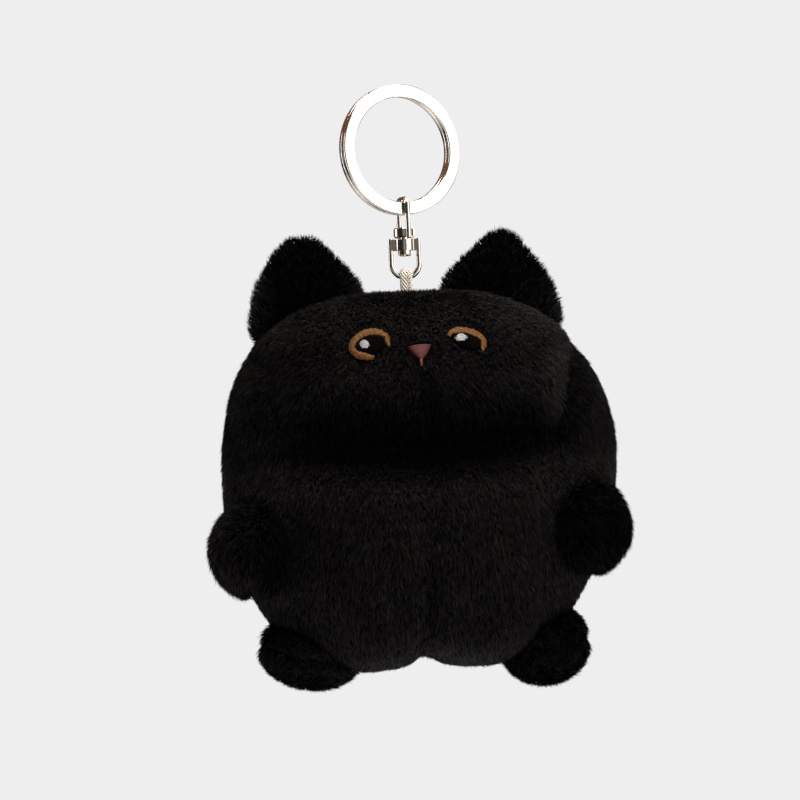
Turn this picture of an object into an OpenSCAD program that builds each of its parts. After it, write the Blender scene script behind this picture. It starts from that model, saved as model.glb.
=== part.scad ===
// Plush cat keychain: a furry stuffed cat that hangs from a swivel and a split ring.
// The origin is the centre of the split ring. +Z is up and the cat faces -Y.

/* [Split ring] */
// Outer diameter of the split ring
ring_od = 30; // [28:0.5:32]
// Radial width of the ring's flat wire
ring_w = 2.85; // [2.4:0.05:3.2]
// Thickness of one coil along the ring's axis
coil_t = 1.45; // [1.2:0.05:1.5]
// Turn of the ring and eye about the vertical
ring_yaw = 27; // [0:1:40]

/* [Swivel] */
// Wire diameter of the eye
eye_wire = 1.25; // [1:0.05:1.4]
// Spacing of the eye's legs, centre to centre
eye_legs = 4.6; // [4.5:0.1:5.2]
// Wire diameter of the shackle
shackle_wire = 1.2; // [1:0.05:1.3]
// Spacing of the shackle's arms, centre to centre
shackle_arms = 6.4; // [6:0.1:7]
// Diameter of the swivel pin
pin_d = 1.8; // [1.4:0.1:2]
// Radial clearance of the running fits
run_gap = 0.06; // [0.03:0.01:0.09]

/* [Hang cord] */
// Width of the flat cord
cord_w = 2.9; // [2:0.1:3]
// Thickness of the flat cord
cord_t = 1.2; // [0.8:0.1:1.4]

/* [Plush] */
// Turn of the shackle and the cat about the vertical
plush_yaw = 5; // [0:1:20]
// Thickness of the fur fabric with its pile
skin_t = 3; // [2:0.1:4]
// Depth of the crease under the chin
chin_crease = 7; // [2:0.5:9]
// Height of the ears from their base line
ear_h = 18.6; // [14:0.2:24]

/* [Embroidery] */
// Distance between the centres of the eyes
eye_gap = 21.6; // [20:0.2:26]
// Width of one embroidered eye
eye_w = 9.2; // [7:0.1:11]
// Height of one embroidered eye
eye_h = 6.6; // [5:0.1:8]
// Width of the iris band
iris_w = 1.3; // [0.8:0.1:1.8]
// Stand of the thread above the fabric
thread_t = 0.5; // [0.3:0.05:0.8]

/* [Hidden] */
$fn = 48;

// Colours
NICKEL = [0.78, 0.76, 0.73];
FUR = [0.07, 0.065, 0.065];
FUR_DARK = [0.04, 0.04, 0.04];
FILL = [0.9, 0.9, 0.88];
CORD = [0.85, 0.82, 0.76];
AMBER = [0.8, 0.5, 0.15];
PINK = [0.6, 0.3, 0.28];

// Ring section and crossing
ring_ro = ring_od / 2;
ring_ri = ring_ro - ring_w;
coil_gap = 0.1;
coil_y = (coil_t + coil_gap) / 2;
coil_edge = 0.4;
cross_mid = 80;
cross_span = 36;
coil_step = 6;
coil_section = [
    [ring_ri + coil_edge, -coil_t / 2], [ring_ro - coil_edge, -coil_t / 2],
    [ring_ro, -coil_t / 2 + coil_edge], [ring_ro, coil_t / 2 - coil_edge],
    [ring_ro - coil_edge, coil_t / 2], [ring_ri + coil_edge, coil_t / 2],
    [ring_ri, coil_t / 2 - coil_edge], [ring_ri, -coil_t / 2 + coil_edge]
];

// Heights along the swivel, downwards from the ring
hang_gap = 0.09;
eye_top = -ring_ri + hang_gap + eye_wire / 2;
eye_corner = 1.4;
collar_r = 2.4;
collar_top = -18;
collar_bottom = -20.3;
collar_edge = 0.3;
hub_r = 2.25;
hub_top = -20.7;
hub_bottom = -23.2;
foot_r = 1.55;
foot_bottom = -24.5;
foot_edge = 0.3;
end_gap = 0.06;
arm_bend_z = -26.3;
arm_bend_r = shackle_arms / 2;
bar_half = 1.5;
bar_lap = 0.15;
lug_t = 1.6;
bar_angle = acos(bar_half / arm_bend_r);
bar_z = arm_bend_z - arm_bend_r * sin(bar_angle);

// Cord loop, its hole through the fabric, and the knot in its pocket
loop_ri = shackle_wire / 2 + run_gap;
loop_ro = loop_ri + cord_t;
cord_hole_r = 2.6;
knot_top = -39;
knot_r = 3.4;
knot_h = 5;
pocket_r = 4.4;
pocket_bottom = -45;

// Body of the cat: height, half width, front depth and back depth of each level
crease_front = 29 - chin_crease;
LEVELS = [
    [-32.4, 0, 0, 0], [-33.4, 17, 8, 8], [-36.6, 27, 15, 15], [-41.5, 34.3, 21, 20],
    [-48, 39.3, 26, 24], [-55, 42.5, 29, 27], [-62, 44.2, 29.5, 29],
    [-66.5, 45.1, 27.5, 29.5], [-69.5, 45.3, crease_front, 30],
    [-73, 45.3, 26.5, 30], [-80, 45, 29, 30], [-90, 43.6, 30, 29.5],
    [-100, 39.5, 29, 28], [-108, 34.5, 25.5, 24.5], [-114, 28, 19, 18.5],
    [-117.4, 17, 10, 10], [-118.4, 0, 0, 0]
];
level_steps = 2;
turn_steps = 44;
body_mid = -75;
body_half = 43;
lobe_drop = 2.2;
lobe_w = 9;
lobe_z = -104;

// Seams
seam_gap = 0.1;
chin_z = -69.5;
chin_lift = 2;
face_top_x = 36;
face_chin_x = 30;
belly_low_x = 27;
wide = 60;
low = -130;
high = -20;

// Arms and feet: centre, half sizes and turns
limb_gap = 0.15;
arm_at = [37, -14, -88.8];
arm_half = [10.4, 13, 11];
arm_turn = [0, 0, 15];
arm_shift = -0.5;
foot_left_at = [25.7, -3, -114.4];
foot_left_half = [12.4, 12, 9];
foot_left_turn = [0, -12, 18];
foot_right_at = [27.2, -3, -114.7];
foot_right_half = [10.9, 12, 9.9];
foot_right_turn = [0, -8, 12];

// Ears
ear_left_x = 22.9;
ear_left_half_w = 13.4;
ear_left_belly_w = 12;
ear_left_tip = [0.9, 7.4];
ear_right_x = 20.9;
ear_right_half_w = 14.6;
ear_right_belly_w = 12.2;
ear_right_tip = [1.5, 4.8];
ear_base_z = -36.9;
ear_t = 4;
ear_rim_t = 0.6;
ear_base_r = 4.5;
ear_belly_z = 7;
ear_fn = 24;

// Face
eyes_z = -45.1;
eye_tilt = 17;
glint_left_at = [-1, -0.2];
glint_left_half = [1.25, 1.1];
glint_right_at = [-1.2, 0.35];
glint_right_half = [1.4, 0.85];
nose_z = -46.1;
nose_w = 4.6;
nose_h = 3;
mouth_w = 0.7;
mouth_h = 9;
stitch_gap = 0.05;

// A point of the smooth curve through p1 and p2, with p0 and p3 beyond them
function spline(p0, p1, p2, p3, t) =
    0.5 * (2 * p1 + (p2 - p0) * t + (2 * p0 - 5 * p1 + 4 * p2 - p3) * t * t
    + (3 * p1 - p0 - 3 * p2 + p3) * t * t * t);

// The body's level at a place counted in rows from the crown
function level(u) =
    let (last = len(LEVELS) - 1, i = min(floor(u), last - 1))
    spline(LEVELS[max(i - 1, 0)], LEVELS[i], LEVELS[i + 1], LEVELS[min(i + 2, last)], u - i);

// How far the two lobes of the seat hang below the notch between them
function lobe(x, z) = z > lobe_z ? 0
    : lobe_drop * (1 - exp(-x * x / lobe_w / lobe_w)) * (lobe_z - z) / (lobe_z - LEVELS[len(LEVELS) - 1][0]);

// A point of the body's surface, moved inwards by inset
function skin_point(u, turn, inset) =
    let (
        row = level(u),
        z = body_mid + (row[0] - body_mid) * (1 - inset / body_half),
        x = max(row[1] - inset, 0.01) * sin(turn),
        y = -cos(turn) * max((cos(turn) > 0 ? row[2] : row[3]) - inset, 0.01)
    )
    [x, y, z - lobe(x, z)];

// The closed body at a depth below the fur's surface
module bag(inset) {
    rows = (len(LEVELS) - 1) * level_steps;
    crown = skin_point(0, 0, inset);
    seat = skin_point(rows / level_steps, 0, inset);
    rings = [
        for (i = [1:rows - 1], k = [0:turn_steps - 1])
            skin_point(i / level_steps, k * 360 / turn_steps, inset)
    ];
    last = len(rings) + 1;
    polyhedron(
        points = concat([crown], rings, [seat]),
        faces = concat(
            [for (k = [0:turn_steps - 1]) [0, 1 + (k + 1) % turn_steps, 1 + k]],
            [
                for (i = [0:rows - 3], k = [0:turn_steps - 1])
                    let (a = 1 + i * turn_steps, b = a + turn_steps, n = (k + 1) % turn_steps)
                    each [[a + k, a + n, b + n], [a + k, b + n, b + k]]
            ],
            [
                for (k = [0:turn_steps - 1])
                    let (a = last - turn_steps)
                    [last, a + k, a + (k + 1) % turn_steps]
            ]
        )
    );
}

// Soft shapes are kept as one mesh at their own size
module soft() {
    resize([0, 0, 0]) children();
}

module place_ring() {
    rotate([0, 0, ring_yaw]) children();
}

module place_plush() {
    rotate([0, 0, plush_yaw]) children();
}

// ---- Ring and swivel ----

// How far the wire has passed from the front coil (0) to the back coil (1) after a turn
function passed(turn) = min(max((turn - 360) / cross_span + 0.5, 0), 1);

// Two coils of flat wire that cross over between their ends
module split_ring() {
    first = cross_span / 2;
    steps = (720 - cross_span) / coil_step;
    n = len(coil_section);
    points = [
        for (i = [0:steps], p = coil_section)
            let (turn = first + i * coil_step, a = cross_mid - turn)
            [p[0] * cos(a), -p[1] + coil_y * (2 * passed(turn) - 1), p[0] * sin(a)]
    ];
    color(NICKEL)
        place_ring()
            polyhedron(
                points = points,
                faces = concat(
                    [[for (k = [0:n - 1]) k]],
                    [[for (k = [n - 1:-1:0]) steps * n + k]],
                    [
                        for (i = [0:steps - 1], k = [0:n - 1])
                            let (a = i * n, b = a + n, m = (k + 1) % n)
                            each [[a + k, b + m, a + m], [a + k, b + k, b + m]]
                    ]
                )
            );
}

// A quarter bend of round wire in the XZ plane
module bend(at, r, wire, from, sweep) {
    translate(at)
        rotate([90, 0, 0])
            rotate([0, 0, from])
                rotate_extrude(angle = sweep)
                    translate([r, 0])
                        circle(d = wire);
}

// Straight round wire between two heights
module leg(x, z_low, z_high, wire) {
    translate([x, 0, z_low])
        cylinder(d = wire, h = z_high - z_low);
}

module swivel_eye() {
    half = eye_legs / 2;
    bend_x = half - eye_corner;
    bend_z = eye_top - eye_corner;
    collar_h = collar_top - collar_bottom;
    color(NICKEL)
        place_ring()
            rotate([0, 0, 90]) {
                for (side = [-1, 1]) {
                    leg(side * half, collar_bottom, bend_z, eye_wire);
                    bend([side * bend_x, 0, bend_z], eye_corner, eye_wire, side > 0 ? 0 : 90, 90);
                }
                translate([-bend_x, 0, eye_top])
                    rotate([0, 90, 0])
                        cylinder(d = eye_wire, h = 2 * bend_x);
                translate([0, 0, collar_bottom])
                    rotate_extrude()
                        polygon([
                            [0, 0], [collar_r - collar_edge, 0], [collar_r, collar_edge],
                            [collar_r, collar_h - collar_edge], [collar_r - collar_edge, collar_h],
                            [0, collar_h]
                        ]);
            }
}

module swivel_pin() {
    shank_bottom = hub_bottom - end_gap;
    color(NICKEL)
        rotate_extrude()
            polygon([
                [0, collar_bottom], [pin_d / 2, collar_bottom], [pin_d / 2, shank_bottom],
                [foot_r, shank_bottom], [foot_r, foot_bottom + foot_edge],
                [foot_r - foot_edge, foot_bottom], [0, foot_bottom]
            ]);
}

module shackle() {
    arm_top = hub_top + shackle_wire / 6;
    color(NICKEL)
        place_plush() {
            difference() {
                union() {
                    translate([0, 0, hub_bottom])
                        cylinder(r = hub_r, h = hub_top - hub_bottom);
                    translate([-shackle_arms / 2, -lug_t / 2, hub_bottom])
                        cube([shackle_arms, lug_t, hub_top - hub_bottom]);
                }
                translate([0, 0, hub_bottom - 1])
                    cylinder(r = pin_d / 2 + run_gap, h = hub_top - hub_bottom + 2);
            }
            for (side = [-1, 1]) {
                leg(side * arm_bend_r, arm_bend_z, arm_top, shackle_wire);
                bend([0, 0, arm_bend_z], arm_bend_r, shackle_wire, side > 0 ? -bar_angle : 180, bar_angle);
            }
            translate([-bar_half - bar_lap, 0, bar_z])
                rotate([0, 90, 0])
                    cylinder(d = shackle_wire, h = 2 * (bar_half + bar_lap));
        }
}

// ---- Cord ----

module hang_cord() {
    color(CORD)
        place_plush()
            translate([-cord_w / 2, 0, bar_z]) {
                difference() {
                    rotate([0, 90, 0])
                        cylinder(r = loop_ro, h = cord_w);
                    translate([-1, 0, 0])
                        rotate([0, 90, 0])
                            cylinder(r = loop_ri, h = cord_w + 2);
                    translate([-1, -wide, -2 * wide])
                        cube([cord_w + 2, 2 * wide, 2 * wide]);
                }
                for (side = [0, 1])
                    mirror([0, side, 0])
                        translate([0, loop_ri, knot_top - bar_z])
                            cube([cord_w, cord_t, bar_z - knot_top]);
            }
}

module cord_knot() {
    color(CORD)
        translate([0, 0, knot_top - knot_h])
            rotate_extrude()
                polygon([
                    [0, 0], [knot_r * 0.6, 0], [knot_r, knot_h * 0.3],
                    [knot_r, knot_h * 0.7], [knot_r * 0.6, knot_h], [0, knot_h]
                ]);
}

// ---- Body panels ----

// A front or back slab whose outline is drawn in the XZ plane
module slab(outline, front) {
    translate([0, front ? 0 : wide, 0])
        rotate([90, 0, 0])
            linear_extrude(wide)
                polygon(outline);
}

// Outline of the face: wide at the crown, narrower at the chin
function face_outline(gap) = [
    [-wide, high], [-wide, -40], [-face_top_x + gap, -46], [-face_chin_x + gap, chin_z + chin_lift + gap],
    [0, chin_z + gap], [face_chin_x - gap, chin_z + chin_lift + gap], [face_top_x - gap, -46],
    [wide, -40], [wide, high]
];

// Outline of the belly, to the centre line on one side
function belly_outline(gap, side) = [
    [side * gap, chin_z - gap], [side * (face_chin_x - gap), chin_z + chin_lift - gap],
    [side * (belly_low_x - gap), low], [side * gap, low]
];

module skin() {
    difference() {
        bag(0);
        bag(skin_t);
        translate([0, 0, knot_top])
            cylinder(r = cord_hole_r, h = high - knot_top);
    }
}

module face_panel() {
    color(FUR)
        place_plush()
            soft()
                intersection() {
                    skin();
                    slab(face_outline(seam_gap / 2), true);
                }
}

module belly(side) {
    color(FUR)
        place_plush()
            soft()
                intersection() {
                    skin();
                    slab(belly_outline(seam_gap / 2, side), true);
                }
}

module back(side) {
    color(FUR)
        place_plush()
            soft()
                difference() {
                    intersection() {
                        skin();
                        translate([side > 0 ? seam_gap / 2 : -wide - seam_gap / 2, -wide, low])
                            cube([wide, 2 * wide, high - low]);
                    }
                    translate([0, seam_gap / 2, 0]) {
                        slab(face_outline(-seam_gap / 2), true);
                        slab(belly_outline(-seam_gap / 2, 1), true);
                        slab(belly_outline(-seam_gap / 2, -1), true);
                    }
                }
}

module body_stuffing() {
    color(FILL)
        place_plush()
            soft()
                difference() {
                    bag(skin_t + seam_gap);
                    translate([0, 0, pocket_bottom])
                        cylinder(r = pocket_r, h = high - pocket_bottom);
                }
}

// ---- Ears ----

// The body as seen from the front, grown by gap
function front_outline(gap) =
    let (rows = (len(LEVELS) - 1) * level_steps)
    [
        for (side = [1, -1], i = [0:rows])
            let (row = level((side > 0 ? i : rows - i) / level_steps))
            [side * (row[1] + gap), row[0] + gap]
    ];

// Ear outline with its base below the crown: +X is outwards, and tip holds the tip's shift and radius
module ear_outline(half_w, belly_w, tip) {
    hull() {
        for (end = [-1, 1])
            translate([end * (half_w - ear_base_r), 0])
                circle(r = ear_base_r, $fn = ear_fn);
        translate([tip[0], ear_h - tip[1]])
            circle(r = tip[1], $fn = ear_fn);
        translate([0, ear_belly_z])
            scale([belly_w, belly_w / 2])
                circle(r = 1, $fn = ear_fn);
    }
}

module ear_shape(side) {
    if (side > 0)
        ear_outline(ear_right_half_w, ear_right_belly_w, ear_right_tip);
    else
        ear_outline(ear_left_half_w, ear_left_belly_w, ear_left_tip);
}

// One half of the ear, thick along its middle and thin at its rim
module ear(side, front) {
    layers = 3;
    color(front ? FUR_DARK : FUR)
        place_plush()
            soft()
                difference() {
                    mirror([side > 0 ? 0 : 1, 0, 0])
                        translate([side > 0 ? ear_right_x : ear_left_x, 0, ear_base_z])
                            mirror([0, front ? 0 : 1, 0])
                                hull()
                                    for (i = [0:layers]) {
                                        depth = ear_rim_t + (ear_t - ear_rim_t) * sin(i * 90 / layers);
                                        translate([0, -seam_gap / 2, 0])
                                            rotate([90, 0, 0])
                                                linear_extrude(depth)
                                                    offset(delta = -ear_t * (1 - cos(i * 90 / layers)))
                                                        ear_shape(side);
                                    }
                    translate([0, wide / 2, 0])
                        rotate([90, 0, 0])
                            linear_extrude(wide)
                                polygon(front_outline(limb_gap));
                }
}

// ---- Arms and feet ----

// An ellipsoid of a limb, smaller by inset
module limb(at, half, turns, side, inset) {
    mirror([side > 0 ? 0 : 1, 0, 0])
        translate(at)
            rotate(turns)
                scale([for (h = half) h - inset])
                    sphere(r = 1, $fn = 28);
}

// Half of a limb's skin, cut along its seam
module limb_skin(at, half, turns, side, part, cut) {
    reach = 2 * max(half);
    soft()
        difference() {
            limb(at, half, turns, side, 0);
            limb(at, half, turns, side, skin_t);
            mirror([side > 0 ? 0 : 1, 0, 0])
                translate(at)
                    rotate(turns)
                        rotate(cut)
                            translate([0, 0, part > 0 ? -reach + seam_gap / 2 : reach - seam_gap / 2])
                                cube(2 * reach, center = true);
            bag(-limb_gap);
        }
}

module limb_stuffing(at, half, turns, side) {
    color(FILL)
        place_plush()
            soft()
                difference() {
                    limb(at, half, turns, side, skin_t + seam_gap);
                    bag(-limb_gap);
                }
}

// An arm's centre, with both arms moved sideways by arm_shift
function arm_centre(side) = arm_at + [side * arm_shift, 0, 0];

function foot_centre(side) = side > 0 ? foot_right_at : foot_left_at;

function foot_half(side) = side > 0 ? foot_right_half : foot_left_half;

function foot_turn(side) = side > 0 ? foot_right_turn : foot_left_turn;

module arm(side, part) {
    color(FUR)
        place_plush()
            limb_skin(arm_centre(side), arm_half, arm_turn, side, part, [0, 90, 0]);
}

module arm_stuffing(side) {
    limb_stuffing(arm_centre(side), arm_half, arm_turn, side);
}

module foot(side, part) {
    color(part > 0 ? FUR : FUR_DARK)
        place_plush()
            limb_skin(foot_centre(side), foot_half(side), foot_turn(side), side, part, [0, 0, 0]);
}

module foot_stuffing(side) {
    limb_stuffing(foot_centre(side), foot_half(side), foot_turn(side), side);
}

// ---- Embroidery ----

// Thread laid on the front of the face inside an outline
module stitched() {
    place_plush()
        soft()
            difference() {
                intersection() {
                    bag(-thread_t - stitch_gap);
                    rotate([90, 0, 0])
                        linear_extrude(wide)
                            children();
                }
                bag(-stitch_gap);
            }
}

// An eye's ellipse in the XZ plane, smaller by inset
module eye_shape(side, inset) {
    translate([side * eye_gap / 2, eyes_z])
        rotate(-side * eye_tilt)
            scale([(eye_w - 2 * inset) / 2, (eye_h - 2 * inset) / 2])
                circle(r = 1, $fn = 32);
}

// The light spot of an eye, left of the pupil's middle and grown by gap
module glint_shape(side, gap) {
    at = side > 0 ? glint_right_at : glint_left_at;
    half = side > 0 ? glint_right_half : glint_left_half;
    translate([side * eye_gap / 2 + at[0], eyes_z + at[1]])
        scale([half[0] + gap, half[1] + gap])
            circle(r = 1, $fn = 20);
}

module iris(side) {
    color(AMBER)
        stitched()
            difference() {
                eye_shape(side, 0);
                eye_shape(side, iris_w);
            }
}

module pupil(side) {
    color(FUR_DARK)
        stitched()
            difference() {
                eye_shape(side, iris_w + stitch_gap);
                glint_shape(side, stitch_gap);
            }
}

module glint(side) {
    color("white")
        stitched()
            glint_shape(side, 0);
}

module nose() {
    color(PINK)
        stitched()
            polygon([[-nose_w / 2, nose_z], [nose_w / 2, nose_z], [0, nose_z - nose_h]]);
}

module mouth_stitch() {
    color(FUR_DARK)
        stitched()
            translate([-mouth_w / 2, nose_z - nose_h - stitch_gap - mouth_h])
                square([mouth_w, mouth_h]);
}

split_ring();
swivel_eye();
swivel_pin();
shackle();
hang_cord();
cord_knot();
face_panel();
belly(-1);  // belly_left
belly(1);  // belly_right
back(-1);  // back_left
back(1);  // back_right
body_stuffing();
ear(-1, true);  // ear_left_front
ear(-1, false);  // ear_left_back
ear(1, true);  // ear_right_front
ear(1, false);  // ear_right_back
arm(-1, 1);  // arm_left_outer
arm(-1, -1);  // arm_left_inner
arm_stuffing(-1);  // arm_left_stuffing
arm(1, 1);  // arm_right_outer
arm(1, -1);  // arm_right_inner
arm_stuffing(1);  // arm_right_stuffing
foot(-1, 1);  // foot_left_top
foot(-1, -1);  // foot_left_sole
foot_stuffing(-1);  // foot_left_stuffing
foot(1, 1);  // foot_right_top
foot(1, -1);  // foot_right_sole
foot_stuffing(1);  // foot_right_stuffing
iris(-1);  // eye_left_iris
pupil(-1);  // eye_left_pupil
glint(-1);  // eye_left_glint
iris(1);  // eye_right_iris
pupil(1);  // eye_right_pupil
glint(1);  // eye_right_glint
nose();
mouth_stitch();
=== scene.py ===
"""Plush cat keychain: fur, embroidery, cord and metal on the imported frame, lit as in a pale studio."""
import math

import bmesh
import bpy
import numpy as np
from mathutils import Matrix, Vector
from mathutils.bvhtree import BVHTree


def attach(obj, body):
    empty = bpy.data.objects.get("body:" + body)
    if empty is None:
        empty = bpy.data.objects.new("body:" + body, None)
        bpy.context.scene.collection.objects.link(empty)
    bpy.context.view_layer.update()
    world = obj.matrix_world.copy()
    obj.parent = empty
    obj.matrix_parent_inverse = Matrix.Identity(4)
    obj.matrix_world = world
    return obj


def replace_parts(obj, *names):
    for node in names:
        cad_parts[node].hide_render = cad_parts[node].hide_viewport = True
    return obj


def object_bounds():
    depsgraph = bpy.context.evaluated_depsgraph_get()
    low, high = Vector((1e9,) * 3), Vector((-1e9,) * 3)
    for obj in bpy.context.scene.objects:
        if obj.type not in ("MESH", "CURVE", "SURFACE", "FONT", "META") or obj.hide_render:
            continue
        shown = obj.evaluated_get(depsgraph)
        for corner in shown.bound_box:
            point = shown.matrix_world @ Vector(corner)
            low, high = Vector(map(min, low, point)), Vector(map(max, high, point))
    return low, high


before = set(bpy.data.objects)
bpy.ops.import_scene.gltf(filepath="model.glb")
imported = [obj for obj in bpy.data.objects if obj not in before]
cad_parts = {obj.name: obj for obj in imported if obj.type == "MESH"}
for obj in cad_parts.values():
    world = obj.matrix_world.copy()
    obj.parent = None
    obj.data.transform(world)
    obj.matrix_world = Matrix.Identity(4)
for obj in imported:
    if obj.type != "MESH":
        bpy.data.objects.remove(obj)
cad_low, cad_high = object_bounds()
scene = bpy.context.scene

MM = 0.001
RING_YAW = math.radians(27)
PLUSH_YAW = math.radians(5)
PILE = 1.7  # how far the woven backing lies below the surface that the pile makes, in mm
BACKING = 0.9
STRAND_CHUNK = 19000
DENSITY = 12.5  # hairs per square mm
HAIR_R = 0.09
LIMB_HAIR_R = 0.1
BODY_HAIR, ARM_HAIR, FOOT_HAIR, EAR_HAIR = 2.3, 2.9, 2.5, 2.1  # lengths
TONE_STEPS = (0.0, 0.4, 0.7, 0.94)  # where each lighter tone of hair begins
CLOTH_FRAMES = 14

# ---------------------------------------------------------------- camera, world and lights

ROLL = math.radians(2.6)
CAMERA_AT = (-0.00267, -0.513, -0.05764)
camera_data = bpy.data.cameras.new("camera")
camera_data.lens = 100
camera_data.sensor_width = 36
camera_data.clip_end = 10
camera = bpy.data.objects.new("camera", camera_data)
scene.collection.objects.link(camera)
camera.matrix_world = Matrix((
    (math.cos(ROLL), math.sin(ROLL), 0, CAMERA_AT[0]),
    (0, 0, -1, CAMERA_AT[1]),
    (-math.sin(ROLL), math.cos(ROLL), 0, CAMERA_AT[2]),
    (0, 0, 0, 1),
))
scene.camera = camera
scene.view_settings.view_transform = "Standard"


def studio_world():
    """A flat pale backdrop for the camera, and a dim room with brown and grey sides for reflections."""
    world = bpy.data.worlds.new("studio")
    scene.world = world
    world.use_nodes = True
    nt = world.node_tree
    nt.nodes.clear()
    coords = nt.nodes.new("ShaderNodeTexCoord")
    split = nt.nodes.new("ShaderNodeSeparateXYZ")
    link = nt.links.new
    link(coords.outputs["Generated"], split.inputs[0])

    def graded(axis, stops):
        """A colour ramp along one axis of the direction, from -1 to 1."""
        along = nt.nodes.new("ShaderNodeMapRange")
        along.inputs["From Min"].default_value = -1
        along.inputs["From Max"].default_value = 1
        shades = nt.nodes.new("ShaderNodeValToRGB")
        ramp = shades.color_ramp
        while len(ramp.elements) < len(stops):
            ramp.elements.new(0.5)
        for element, (place, colour) in zip(ramp.elements, stops):
            element.position = (place + 1) / 2
            element.color = (*colour, 1)
        link(split.outputs[axis], along.inputs["Value"])
        link(along.outputs[0], shades.inputs[0])
        return shades.outputs[0]

    def eased(axis, start, end):
        """A smooth step from 0 to 1 along one axis of the direction."""
        step = nt.nodes.new("ShaderNodeMapRange")
        step.interpolation_type = "SMOOTHSTEP"
        step.inputs["From Min"].default_value = start
        step.inputs["From Max"].default_value = end
        link(split.outputs[axis], step.inputs["Value"])
        return step.outputs[0]

    def blended(fac, first, second):
        """The first colour where fac is 0 and the second where it is 1."""
        blend = nt.nodes.new("ShaderNodeMix")
        blend.data_type = "RGBA"
        link(fac, blend.inputs[0])
        link(first, blend.inputs[6])
        link(second, blend.inputs[7])
        return blend.outputs[2]

    front = graded("X", [
        (-1.0, (0.06, 0.055, 0.05)), (-0.6, (0.02, 0.018, 0.016)), (-0.28, (0.12, 0.07, 0.045)),
        (-0.05, (0.5, 0.48, 0.45)), (0.2, (0.2, 0.15, 0.12)), (0.45, (0.5, 0.48, 0.46)),
        (1.0, (0.45, 0.43, 0.4)),
    ])
    behind = graded("Z", [
        (-1.0, (0.4, 0.38, 0.33)), (-0.56, (0.12, 0.11, 0.075)), (-0.36, (0.2, 0.19, 0.15)),
        (-0.2, (0.008, 0.007, 0.006)), (-0.07, (0.05, 0.03, 0.02)), (0.0, (0.42, 0.36, 0.31)),
        (0.1, (0.1, 0.045, 0.028)), (0.24, (0.27, 0.095, 0.045)), (0.5, (0.32, 0.12, 0.06)),
        (0.75, (0.35, 0.28, 0.22)), (1.0, (0.6, 0.58, 0.55)),
    ])
    straight = graded("Z", [
        (-1.0, (0.4, 0.38, 0.33)), (-0.6, (0.12, 0.085, 0.05)), (-0.4, (0.19, 0.1, 0.04)),
        (-0.15, (0.2, 0.07, 0.035)), (0.0, (0.24, 0.085, 0.045)), (0.3, (0.26, 0.095, 0.05)),
        (0.6, (0.3, 0.2, 0.15)), (1.0, (0.6, 0.58, 0.55)),
    ])
    sides = blended(eased("X", -0.5, -0.22), behind, straight)
    both = blended(eased("Y", -0.1, 0.35), front, sides)
    room = nt.nodes.new("ShaderNodeBackground")
    room.inputs["Strength"].default_value = 0.75
    link(both, room.inputs["Color"])
    backdrop = nt.nodes.new("ShaderNodeBackground")
    backdrop.inputs["Color"].default_value = (0.855, 0.855, 0.855, 1)
    path = nt.nodes.new("ShaderNodeLightPath")
    mix = nt.nodes.new("ShaderNodeMixShader")
    out = nt.nodes.new("ShaderNodeOutputWorld")
    link(path.outputs["Is Camera Ray"], mix.inputs[0])
    link(room.outputs[0], mix.inputs[1])
    link(backdrop.outputs[0], mix.inputs[2])
    link(mix.outputs[0], out.inputs[0])


def softbox(name, place, target, size, watts, colour=(1, 1, 1)):
    data = bpy.data.lights.new(name, "AREA")
    data.shape = "RECTANGLE"
    data.size, data.size_y = size
    data.energy = watts
    data.color = colour
    lamp = bpy.data.objects.new(name, data)
    scene.collection.objects.link(lamp)
    place, target = Vector(place), Vector(target)
    lamp.location = place
    lamp.rotation_euler = (target - place).to_track_quat("-Z", "Y").to_euler()


studio_world()
MIDDLE = (cad_low + cad_high) / 2
softbox("key", (0.58, -0.42, 0.04), (0, 0, -0.02), (0.78, 0.9), 3.6, (1, 0.985, 0.96))
softbox("top", (0.05, -0.2, 0.75), MIDDLE, (0.8, 0.8), 18.5, (1, 0.935, 0.86))
softbox("left", (-0.75, 0.12, 0.02), MIDDLE, (0.3, 0.6), 2.2, (0.96, 0.98, 1))
softbox("low", (0.22, -0.4, -0.42), MIDDLE, (0.5, 0.3), 1.15)
softbox("rim", (0.35, 0.6, 0.2), MIDDLE, (0.5, 0.5), 2.0)


# ---------------------------------------------------------------- materials

def material(name, colour, rough, metal=0.0, specular=0.5, sheen=0.0, sheen_tint=(1, 1, 1)):
    mat = bpy.data.materials.new(name)
    mat.use_nodes = True
    shader = mat.node_tree.nodes["Principled BSDF"]
    shader.inputs["Base Color"].default_value = (*colour, 1)
    shader.inputs["Roughness"].default_value = rough
    shader.inputs["Metallic"].default_value = metal
    shader.inputs["Specular IOR Level"].default_value = specular
    if sheen:
        shader.inputs["Sheen Weight"].default_value = sheen
        shader.inputs["Sheen Roughness"].default_value = 0.4
        shader.inputs["Sheen Tint"].default_value = (*sheen_tint, 1)
    mat.diffuse_color = (*colour, 1)
    return mat


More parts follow.
